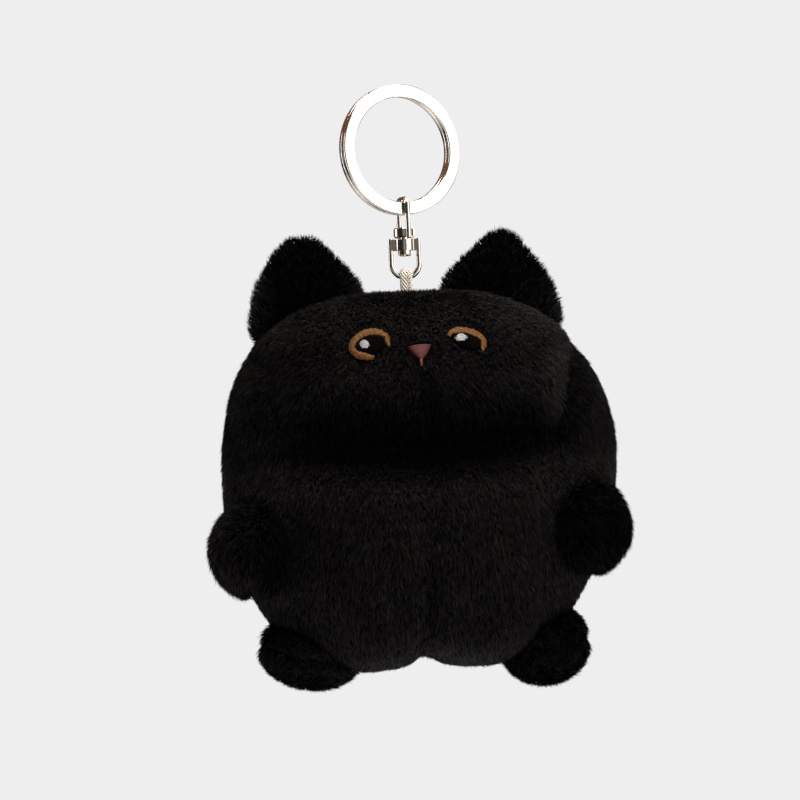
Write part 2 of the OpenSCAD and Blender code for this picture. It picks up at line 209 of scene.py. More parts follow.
def patterned(name, low, high, rough, scale, bump=0.2, bump_distance=0.0002, stretch=(1, 1, 1), **kw):
    """A material whose colour, roughness and height follow a noise in object space, in metres."""
    mat = material(name, low, rough[0], **kw)
    nt = mat.node_tree
    shader = nt.nodes["Principled BSDF"]
    coords = nt.nodes.new("ShaderNodeTexCoord")
    mapping = nt.nodes.new("ShaderNodeMapping")
    mapping.inputs["Scale"].default_value = stretch
    noise = nt.nodes.new("ShaderNodeTexNoise")
    noise.inputs["Scale"].default_value = scale
    noise.inputs["Detail"].default_value = 6
    noise.inputs["Roughness"].default_value = 0.6
    tint = nt.nodes.new("ShaderNodeValToRGB")
    tint.color_ramp.elements[0].position = 0.35
    tint.color_ramp.elements[1].position = 0.68
    tint.color_ramp.elements[0].color = (*low, 1)
    tint.color_ramp.elements[1].color = (*high, 1)
    gloss = nt.nodes.new("ShaderNodeMapRange")
    gloss.inputs["To Min"].default_value = rough[0]
    gloss.inputs["To Max"].default_value = rough[1]
    height = nt.nodes.new("ShaderNodeBump")
    height.inputs["Strength"].default_value = bump
    height.inputs["Distance"].default_value = bump_distance
    link = nt.links.new
    link(coords.outputs["Object"], mapping.inputs[0])
    link(mapping.outputs[0], noise.inputs["Vector"])
    link(noise.outputs[0], tint.inputs[0])
    link(noise.outputs[0], gloss.inputs["Value"])
    link(tint.outputs[0], shader.inputs["Base Color"])
    link(gloss.outputs[0], shader.inputs["Roughness"])
    link(noise.outputs[0], height.inputs["Height"])
    link(height.outputs[0], shader.inputs["Normal"])
    return mat


# Hair tones from dark to light, picked at random and shifted by painted light and shade; fur_shade serves
# painted shade, fur_glint also painted highlights
FUR_TONES = [
    material("fur_shade", (0.001, 0.0009, 0.001), 0.8, specular=0.008),
    material("fur_black", (0.0026, 0.0023, 0.0025), 0.6, specular=0.05),
    material("fur_soot", (0.0042, 0.0037, 0.0038), 0.55, specular=0.08),
    material("fur_umber", (0.0068, 0.0056, 0.0052), 0.5, specular=0.11),
    material("fur_glint", (0.012, 0.0108, 0.0108), 0.42, specular=0.18),
]
BACKING_CLOTH = patterned(
    "backing_knit", (0.0015, 0.0015, 0.0015), (0.004, 0.0038, 0.0038), (0.85, 0.98), 900, bump=0.5,
    specular=0.05,
)
FIBRE = patterned(
    "polyester_fill", (0.72, 0.72, 0.7), (0.9, 0.9, 0.88), (0.8, 0.95), 420, bump=0.8,
    bump_distance=0.0006, stretch=(1, 1, 0.4), specular=0.3, sheen=0.3,
)
NICKEL = patterned(
    "nickel_plate", (0.66, 0.63, 0.59), (0.74, 0.71, 0.67), (0.1, 0.15), 700, bump=0.005,
    bump_distance=0.00005, stretch=(1, 1, 3), metal=1.0,
)
CORD_YARN = patterned(
    "cord_yarn", (0.56, 0.52, 0.46), (0.8, 0.76, 0.7), (0.75, 0.95), 2600, bump=0.5,
    bump_distance=0.0001, stretch=(1, 1, 0.35), specular=0.25, sheen=0.35,
)
AMBER = patterned(
    "thread_amber", (0.043, 0.0155, 0.0014), (0.15, 0.06, 0.0085), (0.45, 0.65), 1500, bump=0.4,
    bump_distance=0.0001, specular=0.15, sheen=0.04, sheen_tint=(1, 0.65, 0.25),
)
BLACK = patterned(
    "thread_black", (0.0005, 0.0005, 0.0005), (0.0014, 0.001, 0.0009), (0.6, 0.8), 1200, bump=0.3,
    bump_distance=0.00008, specular=0.012,
)
WHITE = patterned(
    "thread_white", (0.16, 0.16, 0.17), (0.34, 0.34, 0.35), (0.45, 0.6), 2200, bump=0.3,
    bump_distance=0.00008,
)
PINK = patterned(
    "thread_pink", (0.036, 0.0042, 0.0047), (0.083, 0.0115, 0.0105), (0.5, 0.65), 2200, bump=0.4,
    bump_distance=0.0001, specular=0.3,
)


# ---------------------------------------------------------------- mesh helpers
# Plush shapes are worked out in mm, before the plush's turn

def turned(co, angle):
    c, s = math.cos(angle), math.sin(angle)
    co = np.asarray(co, float)
    return np.stack([co[:, 0] * c - co[:, 1] * s, co[:, 0] * s + co[:, 1] * c, co[:, 2]], 1)


def new_object(name, co, faces, mat, body, yaw=PLUSH_YAW, sharp=None):
    """An object from points in mm and faces, turned into place and riding on a body."""
    mesh = bpy.data.meshes.new(name)
    mesh.from_pydata((turned(co, yaw) * MM).tolist(), [], [list(map(int, f)) for f in faces])
    mesh.materials.append(mat)
    mesh.polygons.foreach_set("use_smooth", [True] * len(mesh.polygons))
    if sharp is not None:
        mesh.set_sharp_from_angle(angle=math.radians(sharp))
    mesh.update()
    obj = bpy.data.objects.new(name, mesh)
    scene.collection.objects.link(obj)
    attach(obj, body)
    return obj


def mesh_arrays(mesh):
    """The points and triangles of a mesh."""
    mesh.calc_loop_triangles()
    co = np.empty(len(mesh.vertices) * 3)
    mesh.vertices.foreach_get("co", co)
    tri = np.empty(len(mesh.loop_triangles) * 3, int)
    mesh.loop_triangles.foreach_get("vertices", tri)
    return co.reshape(-1, 3), tri.reshape(-1, 3)


def node_mesh(*names):
    """The points (mm, with the plush's turn taken out) and triangles of CAD nodes, joined."""
    points, tris, first = [], [], 0
    for name in names:
        co, tri = mesh_arrays(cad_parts[name].data)
        points.append(turned(co / MM, -PLUSH_YAW))
        tris.append(tri + first)
        first += len(co)
    return np.concatenate(points), np.concatenate(tris)


def ball_mesh(detail):
    """A unit ball of even triangles."""
    bm = bmesh.new()
    bmesh.ops.create_icosphere(bm, subdivisions=detail, radius=1)
    points = np.array([v.co for v in bm.verts])
    tris = np.array([[v.index for v in f.verts] for f in bm.faces])
    bm.free()
    return points, tris


def vertex_normals(co, tris):
    n = np.cross(co[tris[:, 1]] - co[tris[:, 0]], co[tris[:, 2]] - co[tris[:, 0]])
    out = np.zeros_like(co)
    for k in range(3):
        np.add.at(out, tris[:, k], n)
    return out / np.maximum(np.linalg.norm(out, axis=1), 1e-12)[:, None]


def relax(co, tris, rounds, amount=0.5):
    """Laplacian smoothing over the triangles' edges."""
    edges = np.concatenate([tris[:, [0, 1]], tris[:, [1, 2]], tris[:, [2, 0]]])
    count = np.zeros(len(co))
    np.add.at(count, edges[:, 0], 1)
    np.add.at(count, edges[:, 1], 1)
    for _ in range(rounds):
        total = np.zeros_like(co)
        np.add.at(total, edges[:, 0], co[edges[:, 1]])
        np.add.at(total, edges[:, 1], co[edges[:, 0]])
        co = co + (total / count[:, None] - co) * amount
    return co


def voxelled(co, tris, size):
    """One closed skin around the joined solids, as points and triangles."""
    mesh = bpy.data.meshes.new("voxels")
    mesh.from_pydata(co.tolist(), [], tris.tolist())
    obj = bpy.data.objects.new("voxels", mesh)
    scene.collection.objects.link(obj)
    mod = obj.modifiers.new("remesh", "REMESH")
    mod.mode = "VOXEL"
    mod.voxel_size = size
    made = obj.evaluated_get(bpy.context.evaluated_depsgraph_get()).to_mesh()
    out, tri = mesh_arrays(made)
    obj.to_mesh_clear()
    bpy.data.objects.remove(obj)
    bpy.data.meshes.remove(mesh)
    return out, tri


def inflate(co, tris, held, cap):
    """Cloth under pressure, held where held is true; no point moves more than cap mm."""
    size = 0.01  # the cloth is solved with 1 mm as 1 cm
    mesh = bpy.data.meshes.new("cloth")
    mesh.from_pydata((co * size).tolist(), [], tris.tolist())
    obj = bpy.data.objects.new("cloth", mesh)
    scene.collection.objects.link(obj)
    pins = obj.vertex_groups.new(name="pins")
    pins.add(np.nonzero(held)[0].tolist(), 1.0, "REPLACE")
    mod = obj.modifiers.new("cloth", "CLOTH")
    s = mod.settings
    s.quality = 4
    s.mass = 0.2
    s.tension_stiffness = s.compression_stiffness = s.shear_stiffness = 12
    s.bending_stiffness = 0.4
    s.use_pressure = True
    s.uniform_pressure_force = 4
    s.effector_weights.gravity = 0
    s.vertex_group_mass = "pins"
    mod.collision_settings.use_collision = False
    mod.point_cache.frame_start, mod.point_cache.frame_end = 1, CLOTH_FRAMES
    for step in range(1, CLOTH_FRAMES + 1):
        scene.frame_set(step)
    made = obj.evaluated_get(bpy.context.evaluated_depsgraph_get()).to_mesh()
    out, _ = mesh_arrays(made)
    obj.to_mesh_clear()
    scene.frame_set(1)
    bpy.data.objects.remove(obj)
    bpy.data.meshes.remove(mesh)
    move = out / size - co
    far = np.linalg.norm(move, axis=1)
    return co + move * np.minimum(1, cap / np.maximum(far, 1e-9))[:, None]


def shell(co, tris, normals, thick):
    """The picked triangles as a sheet of cloth with a thickness below them."""
    used, tris = np.unique(tris, return_inverse=True)
    tris = tris.reshape(-1, 3)
    top = co[used]
    under = top - normals[used] * thick
    n = len(top)
    count = {}
    for a, b, c in tris.tolist():
        for e in ((a, b), (b, c), (c, a)):
            count[e] = count.get(e, 0) + 1
    walls = [(b, a, a + n, b + n) for a, b in count if (b, a) not in count]
    return np.concatenate([top, under]), tris.tolist() + (tris[:, ::-1] + n).tolist() + walls


# ---------------------------------------------------------------- fur

rng = np.random.default_rng(20240611)


def unit(v):
    return v / np.maximum(np.linalg.norm(v, axis=1), 1e-12)[:, None]


def wander(p, size, seed):
    """A smooth vector noise, about -1 to 1, that changes over size mm."""
    r = np.random.default_rng(seed)
    out = np.zeros_like(p)
    for _ in range(5):
        out += np.sin(p @ (r.normal(0, 1 / size, (3, 3))) * 2.2 + r.uniform(0, 6.28, 3))
    return out / 2.4


def cells(p, size, seed):
    """For each point, a random vector and the middle of the tuft that it belongs to."""
    q = np.floor((p + wander(p, 3.0, seed) * 0.7) / size).astype(np.int64)
    key = (q[:, 0] * 73856093 ^ q[:, 1] * 19349663 ^ q[:, 2] * 83492791) + seed * 7919
    parts = [np.sin((key % 100003) * (12.9898 + 7.13 * k)) * 43758.5453 for k in range(3)]
    return np.stack([(v - np.floor(v)) * 2 - 1 for v in parts], 1), (q + 0.5) * size


def scatter(co, tris, normals, density):
    """Points spread evenly over triangles, with their normals."""
    a, b, c = (co[tris[:, k]] for k in range(3))
    area = np.linalg.norm(np.cross(b - a, c - a), axis=1) / 2
    n = int(area.sum() * density)
    pick = rng.choice(len(tris), n, p=area / area.sum())
    u, v = rng.random(n), rng.random(n)
    over = u + v > 1
    u[over], v[over] = 1 - u[over], 1 - v[over]
    w = np.stack([1 - u - v, u, v], 1)[:, :, None]
    return (co[tris[pick]] * w).sum(1), unit((normals[tris[pick]] * w).sum(1))


def strands(name, base, normal, comb, length, thick, painted_shading, tuft=0.14):
    """Tapered three-sided hairs with one bend, gathered into tufts, up to STRAND_CHUNK in an object."""
    tilt, middle = cells(base, 1.5, 3)
    fine, _ = cells(base, 0.62, 8)
    stray = rng.normal(0, 0.1, base.shape)
    flow = unit(comb + wander(base, 5.0, 11) * 0.12 + tilt * tuft + fine * 0.15 + stray)
    flow = flow - normal * (flow * normal).sum(1)[:, None]
    flow = unit(flow)
    length = length * (1 + 0.12 * tilt[:, :1] + rng.normal(0, 0.13, (len(base), 1)))
    root_lift, tip_lift = 0.78, 0.42
    first = unit(normal * root_lift + flow * (1 - root_lift * 0.45))
    second = unit(normal * tip_lift + flow)
    bend = base + first * length * 0.5
    gather = middle - base
    gather = gather - normal * (gather * normal).sum(1)[:, None]
    tip = bend + second * length * 0.5 + gather * 0.16
    side = unit(np.cross(first, rng.normal(0, 1, base.shape)))
    other = np.cross(first, side)
    co = np.empty((len(base), 7, 3))
    for k in range(3):
        a = k * 2.0944  # a third of a turn
        off = side * math.cos(a) + other * math.sin(a)
        co[:, k] = base - first * 0.35 + off * thick
        co[:, 3 + k] = bend + off * thick * 0.8
    co[:, 6] = tip
    # each hair's tone is random, shifted by painted light and shade
    chance = rng.random(len(base)) + painted_shading + 0.07 * wander(base, 9.0, 21)[:, 0] + 0.10 * tilt[:, 1]
    tone = np.digitize(chance, TONE_STEPS)
    loops = np.array([0, 1, 4, 3, 1, 2, 5, 4, 2, 0, 3, 5, 3, 4, 6, 4, 5, 6, 5, 3, 6, 2, 1, 0])
    totals = np.array([4, 4, 4, 3, 3, 3, 3])
    order = np.argsort(-base[:, 2], kind="stable")
    chunks = np.array_split(order, max(1, math.ceil(len(order) / STRAND_CHUNK)))
    for i, chunk in enumerate(chunks):
        n = len(chunk)
        mesh = bpy.data.meshes.new(name)
        mesh.vertices.add(n * 7)
        mesh.vertices.foreach_set("co", (turned(co[chunk].reshape(-1, 3), PLUSH_YAW) * MM).ravel())
        mesh.loops.add(n * 24)
        mesh.loops.foreach_set("vertex_index", (loops[None] + np.arange(n)[:, None] * 7).ravel())
        mesh.polygons.add(n * 7)
        starts = np.concatenate([[0], np.cumsum(np.tile(totals, n))[:-1]])
        mesh.polygons.foreach_set("loop_start", starts)
        mesh.polygons.foreach_set("material_index", np.repeat(tone[chunk], 7))
        mesh.polygons.foreach_set("use_smooth", np.ones(n * 7, bool))
        for mat in FUR_TONES:
            mesh.materials.append(mat)
        mesh.update(calc_edges=True)
        obj = bpy.data.objects.new(f"{name}_{i + 1}" if len(chunks) > 1 else name, mesh)
        scene.collection.objects.link(obj)
        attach(obj, "plush")


# ---------------------------------------------------------------- the body

FACE_TOP, FACE_CHIN, CHIN_Z, CHIN_LIFT, BELLY_LOW = 36.0, 30.0, -69.5, 2.0, 27.0
BODY_NODES = ("face_panel", "belly_left", "belly_right", "back_left", "back_right", "body_stuffing")


def chin_line(x):
    return CHIN_Z + CHIN_LIFT * np.minimum(np.abs(x) / FACE_CHIN, 1)


def face_edge(z):
    """Half width of the face panel at a height."""
    low = FACE_CHIN + (z + 67.5) * (FACE_TOP - FACE_CHIN) / 21.5
    return np.where(z > -46, FACE_TOP + (z + 46) * 4, low)


def belly_edge(z):
    return FACE_CHIN - (-67.5 - z) * (FACE_CHIN - BELLY_LOW) / 62.5


def panel_of(p):
    """0 face, 1 and 2 belly, 3 and 4 back."""
    x, y, z = p.T
    right = (x > 0).astype(int)
    face = (y < 0) & (z > chin_line(x)) & (np.abs(x) < face_edge(z))
    belly = (y < 0) & (z <= chin_line(x)) & (np.abs(x) < belly_edge(z))
    return np.where(face, 0, np.where(belly, 1 + right, 3 + right))


def fold(x):
    """How strongly the chin folds over the belly: fully in front, fading out before the sides."""
    return 1 - np.clip((np.abs(x - 2) - 24) / 12, 0, 1)


def seams(p):
    """Distance in mm from each seam of the body, and how deep the cloth is drawn in there."""
    x, y, z = p.T
    far = 99.0
    front = y < 0
    below = z < chin_line(x)
    chin = np.where(front & (np.abs(x) < FACE_CHIN + 4), np.abs(z - chin_line(x)), far)
    centre = np.where(front & below, np.abs(x), far)
    cheek = np.where(front & ~below & (z < -44), np.abs(np.abs(x) - face_edge(z)), far)
    flank = np.where(front & below, np.abs(np.abs(x) - belly_edge(z)), far)
    spine = np.where(~front, np.abs(x), far)
    tuck = np.where(front & (x > 0), np.hypot((x - face_edge(z) - 0.8) / 2.4, (z + 57) / 9), far)
    depth = np.max([
        (0.6 + 3.6 * fold(x)) * np.exp(-(chin / 2.6) ** 2),
        (1.1 + 0.8 * np.clip((-92 - z) / 20, 0, 1)) * np.exp(-(centre / 2.0) ** 2),
        1.5 * np.exp(-(cheek / 2.6) ** 2),
        0.8 * np.exp(-(flank / 2.6) ** 2),
        0.8 * np.exp(-(spine / 2.2) ** 2),
        2.8 * np.exp(-tuck ** 2),
    ], 0)
    return np.min([chin, centre, cheek, flank, spine], 0), depth


def star_skin(names, centre, detail):
    """The outer surface of joined CAD nodes, seen from one middle point, as a regular closed net."""
    points, tris = node_mesh(*names)
    tree = BVHTree.FromPolygons(points.tolist(), tris.tolist())
    rays, net = ball_mesh(detail)
    stretch = (points.max(0) - points.min(0)) / 2
    rays = unit(rays * stretch)
    out = np.zeros_like(rays)
    nudges = [np.zeros(3), np.array([0.2, 0, 0.1]), np.array([-0.2, 0.1, -0.1])]  # past the seams' gaps
    for i, ray in enumerate(rays):
        starts = [Vector(centre + nudge + ray * 200) for nudge in nudges]
        hits = [np.array(tree.ray_cast(start, Vector(-ray))[0]) for start in starts]
        far = max(np.linalg.norm(hit - centre) for hit in hits)
        out[i] = centre + ray * far
    return out, net


body_centre = np.array([0.0, 0.0, -75.0])
surface, net = star_skin(BODY_NODES, body_centre, 6)
off_axis = np.hypot(surface[:, 0], surface[:, 1])
crown = (off_axis < 5) & (surface[:, 2] > -60)
around_crown = (off_axis > 4) & (off_axis < 9) & (surface[:, 2] > -45)
surface[crown, 2] = surface[around_crown, 2].mean()  # closes the hole that the cord comes out of
surface = relax(surface, net, 3)
fuller = 0.9 + np.clip(surface[:, 0] / 45, 0, 1)  # a little fuller on the +X side
surface[:, 0] += fuller * np.exp(-((surface[:, 2] + 68) / 19) ** 2)
near_seam, drawn_in = seams(surface)
normals = vertex_normals(surface, net)
held = near_seam < 1.2
backing = surface - normals * (PILE + drawn_in)[:, None]
backing = inflate(backing, net, held, 1.2)
backing += normals * (0.5 * (1 - np.exp(-(near_seam / 7) ** 2)))[:, None]
backing = relax(backing, net, 2)
normals = vertex_normals(backing, net)
middle = backing[net].mean(1)
label = panel_of(middle)
body_tree = BVHTree.FromPolygons(backing.tolist(), net.tolist())

# Trimmed pile around the embroidery: an ellipse for each eye and one for the nose
EYE_GAP, EYES_Z, EYE_TILT = 21.6, -45.1, math.radians(17)
EYE_W = {-1: 9.1, 1: 8.8}
EYE_H = {-1: 6.6, 1: 5.5}
NOSE_Z, NOSE_W, NOSE_H = -46.1, 4.5, 2.9
# Where the amber band is hidden because the pile closes over it, as (middle, half width) in degrees
THIN = {-1: (294, 38), 1: (255, 78)}


def across_eye(p, side):
    """Where points lie across an eye and up it, as parts of its half sizes."""
    x, z = p[:, 0] - side * EYE_GAP / 2, p[:, 2] - EYES_Z
    a = -side * EYE_TILT
    u, v = x * math.cos(a) + z * math.sin(a), -x * math.sin(a) + z * math.cos(a)
    return u / (EYE_W[side] / 2), v / (EYE_H[side] / 2)


def in_thin(p, side):
    """Where the pile closes over an eye's band."""
    u, v = across_eye(p, side)
    centre, half = THIN[side]
    return np.abs((np.degrees(np.arctan2(v, u)) - centre + 180) % 360 - 180) < half


def pile_factor(p):
    """1 on open fur, 0 where the embroidery lies."""
    out = np.ones(len(p))
    front = p[:, 1] < 0
    for side in (-1, 1):
        reach = np.hypot(*across_eye(p, side))
        edge = np.where(in_thin(p, side), 0.66, 0.98)
        out = np.where(front, np.minimum(out, np.clip((reach - edge) / 0.12, 0, 1)), out)
        above = np.hypot(*across_eye(p + np.array([0, 0, -1.3]), side))
        short = np.maximum(np.clip((above - 0.98) / 0.25, 0, 1), 0.3)
        out = np.where(front & (p[:, 2] > EYES_Z) & (reach > 1), np.minimum(out, short), out)
    nose = np.hypot(p[:, 0] / (NOSE_W / 2 + 0.2), (p[:, 2] - NOSE_Z + 1.2) / (NOSE_H / 2 + 0.8))
    out = np.where(front, np.minimum(out, np.clip((nose - 0.9) / 0.4, 0, 1)), out)
    return out


def shade(p):
    """Painted light and shade in the fur: shifts the choice of tone by place, lighter where light falls and
    darker in shade, fitted to the fur's light and dark from the front.
    """
    x, y, z = p.T
    front = y < 0
    out = np.where(front, 0.0, 0.04)
    rim = face_edge(z) - x
    cheek = np.clip((z + 66) / 6, 0, 1) * np.clip((-40 - z) / 6, 0, 1)
    # painted highlight on the cheeks, just inside the face's rim
    out += np.where(front & (rim > 0), 0.6 * cheek * np.exp(-(rim / 5) ** 2), 0)
    out -= np.where(front & (rim <= 0), 0.4 * cheek * np.exp(-(rim / 8) ** 2), 0)  # painted shade behind the rim
    out += np.where(front, 0.4 * np.clip((z + 46) / 5, 0, 1), 0)  # painted light on the crown
    under = np.where(z > -71, (0.1 + 0.6 * fold(x)) * np.exp(-((z + 64) / 6) ** 2), 0)
    out -= np.where(front, under, 0)  # painted shade under the chin
    out += np.where(front, 0.2 * np.exp(-((z + 76) / 4) ** 2), 0)  # painted light on the top of the belly
    out -= np.where(front, 0.14 * np.clip((-98 - z) / 8, 0, 1), 0)  # painted shade at the foot of the belly
    out -= np.where(front & (x < -18) & (z > -64), 0.12, 0)  # painted shade on the -X cheek
    # painted shade in the belly's centre seam and in the fold under the mouth
    belly_seam_shade = np.exp(-(x / 1.6) ** 2) * np.clip((-86 - z) / 12, 0, 1)
    mouth_fold_shade = np.exp(-((x - 2) / 1.3) ** 2) * np.clip((-50 - z) / 4, 0, 1)
    mouth_fold_shade *= np.clip((z + 72) / 4, 0, 1)
    out -= np.where(front, 0.26 * belly_seam_shade + 0.35 * mouth_fold_shade, 0)
    return out


def body_comb(p, n):
    """The nap of the body: down, a little away from the middle, forward on the crown."""
    comb = np.tile([0.0, 0.0, -1.0], (len(p), 1))
    comb[:, 0] += p[:, 0] / 45 * 0.2
    comb[:, 1] += -0.5 * np.clip(n[:, 2], 0, 1)
    muzzle = np.exp(-((p[:, 0] / 14) ** 2 + ((p[:, 2] + 52) / 9) ** 2)) * (p[:, 1] < 0)
    comb[:, 0] += muzzle * np.tanh(p[:, 0] / 3) * 0.22
    return comb


LIMBS = {  # centre, half sizes and turns about X, Y then Z in degrees, on the +X side; mirrored for the left
    "arm_left": ((38, -14, -89.7), (10.4, 13, 11.3), (0, 0, 15)),
    "arm_right": ((36.5, -14, -88), (10.6, 13, 11.7), (0, 0, 15)),
    "foot_left": ((26.2, -3, -114.4), (12.6, 12, 9), (0, -12, 18)),
    "foot_right": ((27.8, -3, -115.1), (11.2, 12, 10.3), (0, -6, 12)),
}


def limb_frame(name):
    """A limb's centre, its axes as columns and its half sizes, mirrored for the left."""
    at, half, turns = LIMBS[name]
    axes = np.eye(3)
    for k, degrees in enumerate(turns):
        axes = np.array(Matrix.Rotation(math.radians(degrees), 3, "XYZ"[k])) @ axes
    flip = np.diag([-1.0 if name.endswith("left") else 1.0, 1, 1])
    return flip @ np.array(at, float), flip @ axes, np.array(half, float)


def under_limb(p):
    """Whether a point lies inside a limb's cloth."""
    out = np.zeros(len(p), bool)
    for name in LIMBS:
        at, axes, half = limb_frame(name)
        out |= np.linalg.norm((p - at) @ axes / (half - PILE - 0.4), axis=1) < 1
    return out


PANELS = ["face_panel", "belly_left", "belly_right", "back_left", "back_right"]
for k, node in enumerate(PANELS):
    picked = net[label == k]
    co, faces = shell(backing, picked, normals, BACKING)
    skin = new_object(f"{node}_cloth", co, faces, BACKING_CLOTH, "plush")
    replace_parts(skin, node)
    base, normal = scatter(backing, picked, normals, DENSITY)
    keep = pile_factor(base)
    open_fur = (keep > 0.12) & ~under_limb(base + normal * 0.8)
    base, normal, keep = base[open_fur], normal[open_fur], keep[open_fur]
    _, depth = seams(base)
    length = (BODY_HAIR * (0.35 + 0.65 * keep) * (1 - 0.06 * np.minimum(depth, 4)))[:, None]
    strands(f"fur_{node}", base, normal, body_comb(base, normal), length, HAIR_R, shade(base))

co = relax(backing - normals * (BACKING + 0.15), net, 2)
fill = new_object("stuffing_body", co, net, FIBRE, "plush")
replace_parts(fill, "body_stuffing")


# ---------------------------------------------------------------- limbs and ears

def clear_of_body(p, n, gap):
    """Whether a point, moved out along its normal, is outside the body's backing."""
    out = np.ones(len(p), bool)
    for i, q in enumerate(p + n * gap):
        spot, facing, _, _ = body_tree.find_nearest(Vector(q))
        out[i] = (Vector(q) - spot).dot(facing) > 0.3
    return out


def pressed(co, gap=0.2):
    """Points inside the body's backing are moved out to lie against it."""
    out = co.copy()
    for i, q in enumerate(co):
        spot, facing, _, _ = body_tree.find_nearest(Vector(q))
        if (Vector(q) - spot).dot(facing) < gap:
            out[i] = np.array(spot) + np.array(facing) * gap
    return out


def sewn(halves, co, tri, first, thick, comb, painted_shading, length):
    """The two cloth halves of a part, each with its fur."""
    n = vertex_normals(co, tri)
    for node, part in zip(halves, (first, ~first)):
        shell_co, faces = shell(co, tri[part], n, thick)
        skin = new_object(f"{node}_cloth", shell_co, faces, BACKING_CLOTH, "plush")
        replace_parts(skin, node)
        base, normal = scatter(co, tri[part], n, DENSITY)
        free = clear_of_body(base, normal, 0.5)
        base, normal = base[free], normal[free]
        strands(f"fur_{node}", base, normal, comb(base, normal), length, LIMB_HAIR_R, painted_shading(base), tuft=0.25)


def limb(name, halves, along, comb, painted_shading, length):
    """A stuffed arm or foot, cut along the plane across one of its axes and pressed against the body."""
    at, axes, half = limb_frame(name)
    ball, tri = ball_mesh(5)
    if name.endswith("left"):
        tri = tri[:, ::-1]
    seam = ball[:, along] * half[along]
    pinch = 0.9 * np.exp(-(seam / 1.8) ** 2)
    co = at + (ball * (half - PILE - 0.2 - pinch[:, None])) @ axes.T
    co = inflate(co, tri, np.abs(seam) < 1.0, 0.7)
    co = pressed(relax(co, tri, 2))
    first = ((co[tri].mean(1) - at) @ axes[:, along]) > 0
    sewn(halves, co, tri, first, BACKING, comb, painted_shading, length)
    middle = co.mean(0)
    wad = new_object(f"stuffing_{name}", middle + (co - middle) * 0.82, tri, FIBRE, "plush")
    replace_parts(wad, f"{name}_stuffing")


for side, word in ((-1, "left"), (1, "right")):
    ear = [f"ear_{word}_front", f"ear_{word}_back"]
    points, tris = node_mesh(*ear)
    ear_low, ear_high = points.min(0), points.max(0)
    ear_mid = (ear_low + ear_high) / 2
    co, tri = voxelled(points, tris, 0.9)
    co = relax(co, tri, 3)
    tall = ear_high[2] - ear_low[2]
    co[:, 0] = ear_mid[0] + (co[:, 0] - ear_mid[0]) * 0.98
    co[:, 1] *= 0.42
    co[:, 2] = ear_high[2] - 1.7 + (co[:, 2] - ear_high[2]) * (tall + 1.5) / tall
    co = inflate(co, tri, np.abs(co[:, 1]) < 0.3, 0.4)
    co = pressed(relax(co, tri, 3), 0.0)

    def ear_comb(p, n, mid=ear_mid):
        comb = np.zeros_like(p)
        comb[:, 0] = (p[:, 0] - mid[0]) / 14
        comb[:, 2] = 0.8
        return comb

    def ear_painted_shading(p, side=side, mid=ear_mid):
        # painted shade on the ears' fronts, and painted light towards their sides
        rim = np.clip((np.abs(p[:, 0] - mid[0]) - 6) / 6, 0, 1)
        front, edge = (-0.95, 0.9) if side < 0 else (-0.84, 0.5)
        return np.where(p[:, 1] < 0, front, 0.0) + rim * edge

    sewn(ear, co, tri, co[tri].mean(1)[:, 1] < 0, 0.7, ear_comb, ear_painted_shading, EAR_HAIR)

    at = limb_frame(f"arm_{word}")[0]

    def arm_comb(p, n, at=at, side=side):
        return np.array([side * 0.25, -0.15, -1.0]) + (p - at) * 0.02

    def arm_painted_shading(p, side=side, at=at):
        # painted shade: the +X arm darker towards its front, the -X arm lighter towards its outer side
        if side > 0:
            return -0.25 - 0.4 * np.clip((at[1] + 4 - p[:, 1]) / 8, 0, 1)
        return -0.4 + 0.4 * np.clip((at[0] - p[:, 0]) / 8, -0.4, 1)

    limb(f"arm_{word}", [f"arm_{word}_outer", f"arm_{word}_inner"], 0, arm_comb, arm_painted_shading, ARM_HAIR)

    at = limb_frame(f"foot_{word}")[0]

    def foot_comb(p, n, at=at):
        return (p - at) * np.array([1, 1, 0.6]) / 10 + np.array([0, -0.4, -0.25])

    def foot_painted_shade(p, side=side):
        # painted shade, deeper on the +X foot
        return np.full(len(p), -0.05 if side < 0 else -0.3)

    limb(f"foot_{word}", [f"foot_{word}_top", f"foot_{word}_sole"], 2, foot_comb, foot_painted_shade, FOOT_HAIR)


# ---------------------------------------------------------------- embroidery

face_points, face_tris = node_mesh("face_panel")
face_tree = BVHTree.FromPolygons(face_points.tolist(), face_tris.tolist())


def on_face(x, z, stand):
    """A point on the front of the face, stand mm in front of the pile's surface."""
    hit, facing, _, _ = face_tree.ray_cast(Vector((x, -100, z)), Vector((0, 1, 0)))
    return np.array(hit) + np.array(facing) * stand


def tube(lines, radius, around, across):
    """Round tubes along lines of points; the section's first side is square to across(ahead)."""
    co, faces = [], []
    for line in lines:
        first, n = len(co), len(line)
        for i, p in enumerate(line):
            ahead = line[min(i + 1, n - 1)] - line[max(i - 1, 0)]
            ahead = ahead / max(np.linalg.norm(ahead), 1e-9)
            out = np.cross(ahead, across(ahead))
            out /= max(np.linalg.norm(out), 1e-9)
            up = np.cross(ahead, out)
            for k in range(around):
                a = 2 * math.pi * k / around
                co.append(p + (out * math.cos(a) + up * math.sin(a)) * radius)
        for i in range(n - 1):
            for k in range(around):
                a, b = first + i * around + k, first + i * around + (k + 1) % around
                faces.append((a, b, b + around, a + around))
        faces.append([first + k for k in range(around)][::-1])
        faces.append([first + (n - 1) * around + k for k in range(around)])
    return np.array(co), faces


